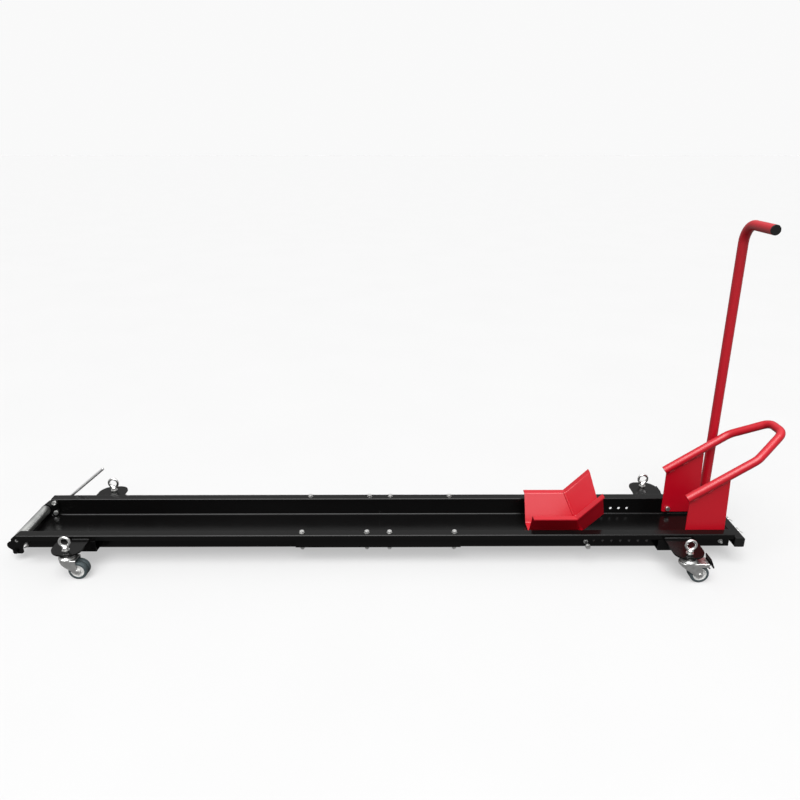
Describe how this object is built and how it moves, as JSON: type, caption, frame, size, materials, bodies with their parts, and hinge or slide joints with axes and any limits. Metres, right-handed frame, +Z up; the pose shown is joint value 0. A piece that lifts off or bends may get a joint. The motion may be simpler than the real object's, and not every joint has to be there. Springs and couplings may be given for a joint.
{
  "type": "motorcycle dolly",
  "caption": "Low channel rail on swivel casters that carries a motorcycle, with a rocking wheel cradle, a hooped wheel chock, a pull handle and an entry roller with a lever foot.",
  "frame": {"origin": "on the ground, in the middle of the footprint", "axes": "+X along the rail from the entry roller to the chock, +Y to the left of a motorcycle that rolls in, +Z up"},
  "size_m": [2.4124, 0.482, 1.026],
  "materials": {
    "black_powder_coat": "gloss black powder coat",
    "red_powder_coat": "gloss red powder coat",
    "zinc_plate": "satin zinc plate",
    "polished_zinc": "bright zinc plate",
    "chrome": "polished chrome",
    "roller_steel": "drawn tube, satin",
    "bearing_steel": "polished",
    "grey_tyre": "slate grey rubber",
    "hub_plastic": "light grey moulded plastic",
    "black_plastic": "black moulded plastic"
  },
  "bodies": {
    "chassis": {"caster_balls": "bearing_steel", "caster_cups": "zinc_plate", "caster_stems": "zinc_plate", "chock_hoop": "red_powder_coat", "chock_plate_left": "red_powder_coat", "chock_plate_right": "red_powder_coat", "clevis_pins": "zinc_plate", "cradle_bolt": "zinc_plate", "cross_tube_caps": "black_plastic", "end_bracket_left": "black_powder_coat", "end_bracket_right": "black_powder_coat", "end_cross_tube": "black_powder_coat", "eye_nuts": "polished_zinc", "front_rail": "black_powder_coat", "m8_nuts": "zinc_plate", "m8_washers": "zinc_plate", "outrigger_front_left": "black_powder_coat", "outrigger_front_right": "black_powder_coat", "outrigger_rear_left": "black_powder_coat", "outrigger_rear_right": "black_powder_coat", "r_clips": "zinc_plate", "rear_rail": "black_powder_coat", "roller_axle": "zinc_plate", "side_bolts": "zinc_plate", "splice_bar_left": "black_powder_coat", "splice_bar_right": "black_powder_coat", "splice_bolts": "zinc_plate", "stem_nuts": "zinc_plate", "stem_washers": "zinc_plate"},
    "entry_roller": {"entry_roller": "roller_steel"},
    "lever_foot": {"foot_shaft": "black_powder_coat", "foot_arms": "black_powder_coat", "foot_tube": "black_powder_coat", "lever_hub": "black_powder_coat", "lever_rod": "chrome"},
    "cradle": {"wheel_cradle": "red_powder_coat", "cradle_pivot_tube": "red_powder_coat"},
    "pull_handle": {"handle": "red_powder_coat", "handle_grip_cap": "black_plastic"},
    "caster_rear_right": {"caster_fork_rear_right": "zinc_plate", "caster_axle_rear_right": "zinc_plate"},
    "wheel_rear_right": {"caster_hub_rear_right": "hub_plastic", "caster_tyres_rear_right": "grey_tyre"},
    "caster_rear_left": {"caster_fork_rear_left": "zinc_plate", "caster_axle_rear_left": "zinc_plate"},
    "wheel_rear_left": {"caster_hub_rear_left": "hub_plastic", "caster_tyres_rear_left": "grey_tyre"},
    "caster_front_right": {"caster_fork_front_right": "zinc_plate", "caster_axle_front_right": "zinc_plate", "pedal_pin_front_right": "zinc_plate"},
    "wheel_front_right": {"caster_hub_front_right": "hub_plastic", "caster_tyres_front_right": "grey_tyre"},
    "brake_pedal_front_right": {"brake_pedal_front_right": "black_powder_coat"},
    "caster_front_left": {"caster_fork_front_left": "zinc_plate", "caster_axle_front_left": "zinc_plate", "pedal_pin_front_left": "zinc_plate"},
    "wheel_front_left": {"caster_hub_front_left": "hub_plastic", "caster_tyres_front_left": "grey_tyre"},
    "brake_pedal_front_left": {"brake_pedal_front_left": "black_powder_coat"}
  },
  "joints": [
    {"name": "caster_swivel_rear_right", "type": "hinge", "parent": "chassis", "child": "caster_rear_right", "pos_m": [-0.97375, -0.19, 0.07], "axis": [0, 0, 1], "continuous": true},
    {"name": "wheel_spin_rear_right", "type": "hinge", "parent": "caster_rear_right", "child": "wheel_rear_right", "pos_m": [-0.94175, -0.19, 0.028], "axis": [0, 1, 0], "continuous": true},
    {"name": "caster_swivel_rear_left", "type": "hinge", "parent": "chassis", "child": "caster_rear_left", "pos_m": [-0.97375, 0.19, 0.07], "axis": [0, 0, 1], "continuous": true},
    {"name": "wheel_spin_rear_left", "type": "hinge", "parent": "caster_rear_left", "child": "wheel_rear_left", "pos_m": [-0.94175, 0.19, 0.028], "axis": [0, 1, 0], "continuous": true},
    {"name": "caster_swivel_front_right", "type": "hinge", "parent": "chassis", "child": "caster_front_right", "pos_m": [0.88125, -0.214, 0.07], "axis": [0, 0, 1], "continuous": true},
    {"name": "wheel_spin_front_right", "type": "hinge", "parent": "caster_front_right", "child": "wheel_front_right", "pos_m": [0.91325, -0.214, 0.028], "axis": [0, 1, 0], "continuous": true},
    {"name": "brake_front_right", "type": "hinge", "parent": "caster_front_right", "child": "brake_pedal_front_right", "pos_m": [0.92725, -0.214, 0.0595], "axis": [0, 1, 0], "range_deg": [0, 10]},
    {"name": "caster_swivel_front_left", "type": "hinge", "parent": "chassis", "child": "caster_front_left", "pos_m": [0.88125, 0.214, 0.07], "axis": [0, 0, 1], "continuous": true},
    {"name": "wheel_spin_front_left", "type": "hinge", "parent": "caster_front_left", "child": "wheel_front_left", "pos_m": [0.91325, 0.214, 0.028], "axis": [0, 1, 0], "continuous": true},
    {"name": "brake_front_left", "type": "hinge", "parent": "caster_front_left", "child": "brake_pedal_front_left", "pos_m": [0.92725, 0.214, 0.0595], "axis": [0, 1, 0], "range_deg": [0, 10]},
    {"name": "roller_spin", "type": "hinge", "parent": "chassis", "child": "entry_roller", "pos_m": [-1.17075, 0, 0.068], "axis": [0, 1, 0], "continuous": true},
    {"name": "foot_lever", "type": "hinge", "parent": "chassis", "child": "lever_foot", "pos_m": [-1.17775, 0, 0.032], "axis": [0, -1, 0], "range_deg": [0, 100]},
    {"name": "cradle_rock", "type": "hinge", "parent": "chassis", "child": "cradle", "pos_m": [0.60175, 0, 0.066], "axis": [0, 1, 0], "range_deg": [0, 45]},
    {"name": "handle_lift", "type": "slide", "parent": "chassis", "child": "pull_handle", "axis": [0, 0, 1], "range_m": [0, 0.03]}
  ]
}
